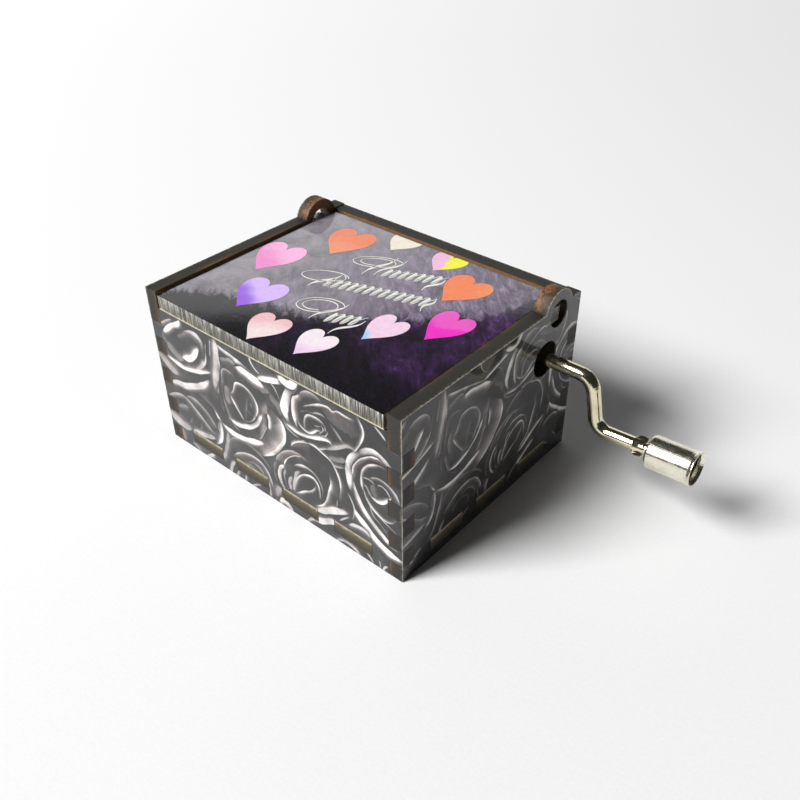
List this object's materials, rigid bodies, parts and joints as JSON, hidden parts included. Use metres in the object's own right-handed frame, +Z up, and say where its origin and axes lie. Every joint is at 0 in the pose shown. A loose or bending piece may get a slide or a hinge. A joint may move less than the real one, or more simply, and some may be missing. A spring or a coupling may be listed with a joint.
{
  "type": "music box",
  "caption": "Hand-cranked music box: finger-jointed printed board case with a hinged lid, a bent metal crank and a pinned-drum and comb movement inside.",
  "frame": {"origin": "centre of the underside of the whole object's box, crank included, on the surface that the case stands on", "axes": "+X along the case's length towards the crank, +Y from the front face to the hinge side, +Z up"},
  "size_m": [0.0962, 0.0516, 0.0393],
  "materials": {
    "printed_board": "glossy printed paper face on 3 mm laser-cut board with browned edges",
    "lid_print": "high-gloss printed face on 3 mm laser-cut board",
    "raw_board": "bare laser-cut fibreboard",
    "nickel": "polished nickel plate with a warm tint",
    "satin_nickel": "drawn sleeve, satin nickel plate",
    "brass": "turned brass",
    "steel": "ground and zinc-plated steel",
    "cast_zinc": "bead-blasted die casting"
  },
  "bodies": {
    "case": {"front_wall": "printed_board", "back_wall": "printed_board", "left_wall": "printed_board", "right_wall": "printed_board", "bottom_panel": "raw_board", "bedplate": "cast_zinc", "comb": "steel", "comb_screw_1": "brass", "comb_screw_2": "brass", "comb_screw_3": "brass", "worm_bracket": "nickel", "bracket_screw_1": "steel", "bracket_screw_2": "steel", "movement_screw_1": "steel", "movement_screw_2": "steel", "movement_screw_3": "steel"},
    "lid": {"lid": "lid_print"},
    "crank": {"crank_arm": "nickel", "worm_shaft": "steel", "shaft_clip": "steel", "thrust_washer": "brass"},
    "drum": {"drum": "brass", "drum_cap": "brass", "drum_gear": "brass", "drum_arbor": "steel"},
    "knob": {"crank_knob": "satin_nickel"}
  },
  "joints": [
    {"name": "lid_hinge", "type": "hinge", "parent": "case", "child": "lid", "pos_m": [-0.01614, 0.0184, 0.0339], "axis": [-1, 0, 0], "range_deg": [0, 125]},
    {"name": "drum_spin", "type": "hinge", "parent": "case", "child": "drum", "pos_m": [-0.00713, 0, 0.0176], "axis": [0, 1, 0], "continuous": true},
    {"name": "crank_spin", "type": "hinge", "parent": "case", "child": "crank", "pos_m": [0.00386, 0.0151, 0.0264], "axis": [-1, 0, 0], "continuous": true},
    {"name": "knob_spin", "type": "hinge", "parent": "crank", "child": "knob", "pos_m": [0.03914, 0.0151, 0.01667], "axis": [0.9981, 0, 0.061], "continuous": true}
  ],
  "couplings": [
    {"joint": "drum_spin", "follows": "crank_spin", "ratio": 0.041667}
  ]
}
